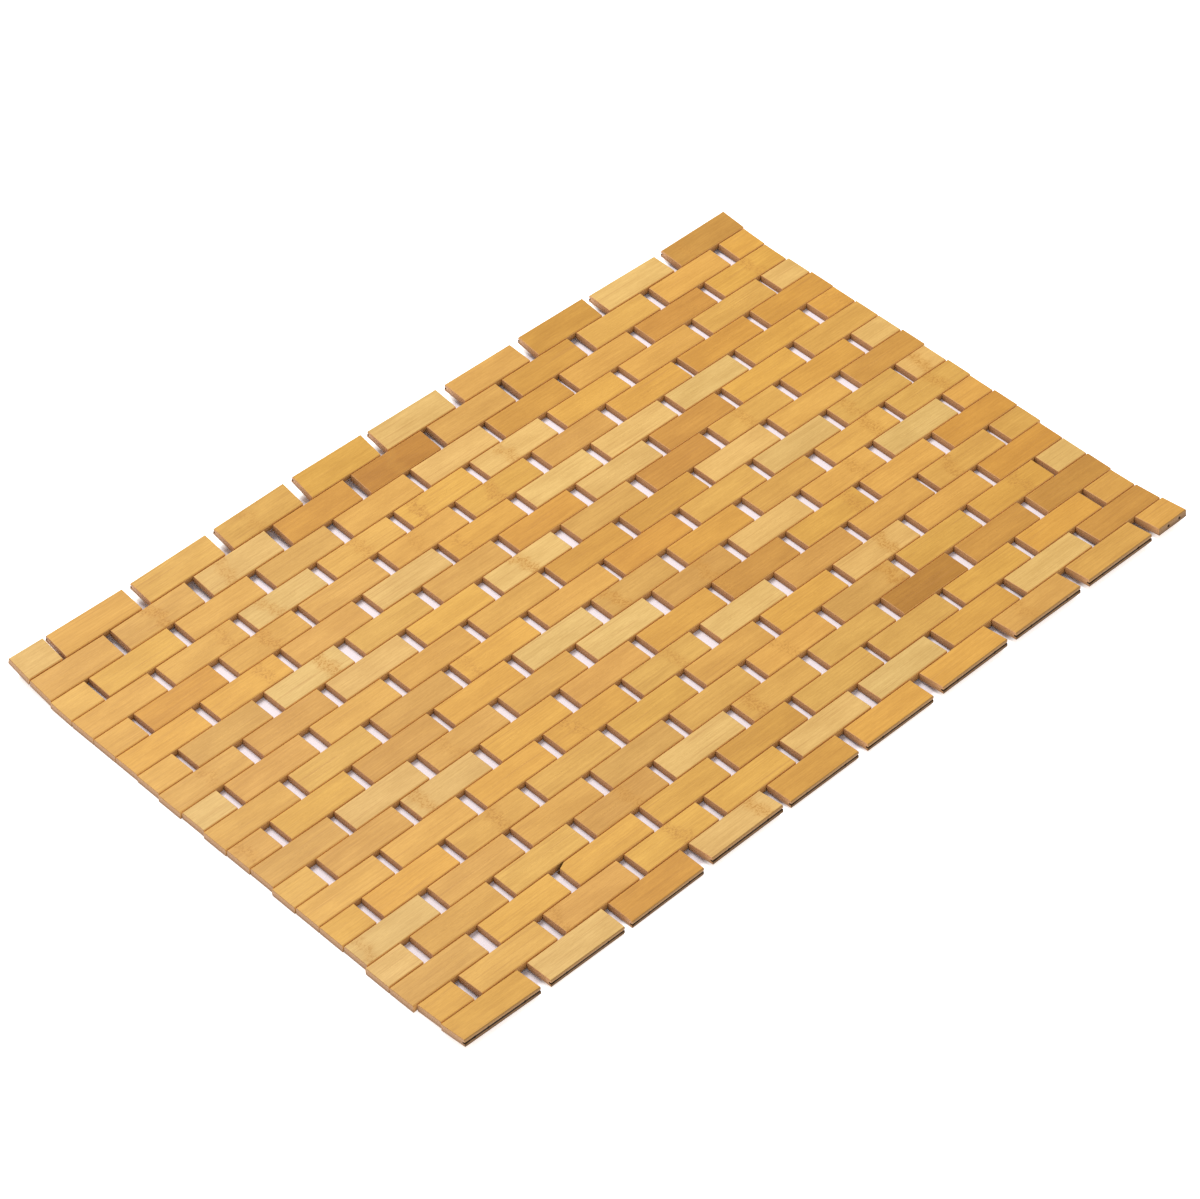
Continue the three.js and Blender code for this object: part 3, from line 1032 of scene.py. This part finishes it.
# The mat

def ride_as(piece, slot, *nodes):
    """Hands a piece to the frame, in place of the nodes that it names. The slot is not used."""
    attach(piece, "root")
    if nodes:
        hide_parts(*nodes)


def build_slats(material):
    for run in RUNS:
        node = f"left_end_{run.name}"
        ride_as(slat_piece(f"{node}_slats", -1, run, [0], material), "bamboo", node)
        for column in range(COLUMNS):
            node = f"column_{column + 1}_{run.name}"
            cord = 2 * column + 1
            numbers = [cord - 1, cord, cord + 1]
            ride_as(slat_piece(f"{node}_slats", column, run, numbers, material), "bamboo", node)
        node = f"right_end_{run.name}"
        ride_as(slat_piece(f"{node}_slats", COLUMNS, run, [2 * COLUMNS], material), "bamboo", node)


def build_cords(material):
    for number in range(2 * COLUMNS + 1):
        for index in range(len(cord_places(number))):
            name = f"thread_{number}" + ("_inner" if index else "")
            piece = cord_piece(name, number, index, material)
            nodes = [f"cord_{number}"] if f"cord_{number}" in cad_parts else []
            ride_as(piece, "cord", *nodes)


# Stage: floor, light and camera

# The floor, the soft light behind the mat, the strength of the white world around them, and how
# far the camera sees, in metres and watts
FLOOR_SIZE = 12.0
LIGHT_PLACE = (0.05, 1.15, 2.1)
LIGHT_SIZE = 1.1
LIGHT_POWER = 51.0
LIGHT_COLOUR = (1.0, 0.995, 0.985)
WORLD_STRENGTH = 0.80
CAMERA_REACH = 100.0

# The camera, in millimetres from the middle of the mat on the floor
CAMERA_PLACE = (-1310.5, -1345.0, 1867.6)
CAMERA_TARGET = (-4.2, 0.7, 0.5)
FRAME_WIDTH_PX = 1200
FOCAL_LENGTH_PX = 4383.5
SENSOR_WIDTH = 36.0


def build_floor(material):
    mesh = bmesh.new()
    bmesh.ops.create_grid(mesh, x_segments=1, y_segments=1, size=FLOOR_SIZE / 2)
    floor = to_object(mesh, "floor")
    floor.data.materials.append(material)


def aim(thing, place, target):
    thing.location = place
    thing.rotation_euler = (target - place).to_track_quat("-Z", "Y").to_euler()


def build_light():
    data = bpy.data.lights.new("behind", "AREA")
    data.shape = "DISK"
    data.size = LIGHT_SIZE
    data.energy = LIGHT_POWER
    data.color = LIGHT_COLOUR
    light = bpy.data.objects.new("behind", data)
    bpy.context.scene.collection.objects.link(light)
    aim(light, Vector(LIGHT_PLACE), Vector((0, 0, 0)))


def build_world():
    world = bpy.data.worlds.new("studio")
    world.use_nodes = True
    background = world.node_tree.nodes["Background"]
    background.inputs["Color"].default_value = (1, 1, 1, 1)
    background.inputs["Strength"].default_value = WORLD_STRENGTH
    bpy.context.scene.world = world
    bpy.context.scene.view_settings.view_transform = "Standard"


def build_camera():
    data = bpy.data.cameras.new("camera")
    data.sensor_fit = "HORIZONTAL"
    data.sensor_width = SENSOR_WIDTH
    data.lens = FOCAL_LENGTH_PX / FRAME_WIDTH_PX * SENSOR_WIDTH
    data.clip_end = CAMERA_REACH
    camera = bpy.data.objects.new("camera", data)
    bpy.context.scene.collection.objects.link(camera)
    aim(camera, Vector(CAMERA_PLACE) * MM, Vector(CAMERA_TARGET) * MM)
    bpy.context.scene.camera = camera


build_camera()
build_slats(bamboo_material())
build_cords(cord_material())
build_floor(floor_material())
build_light()
build_world()
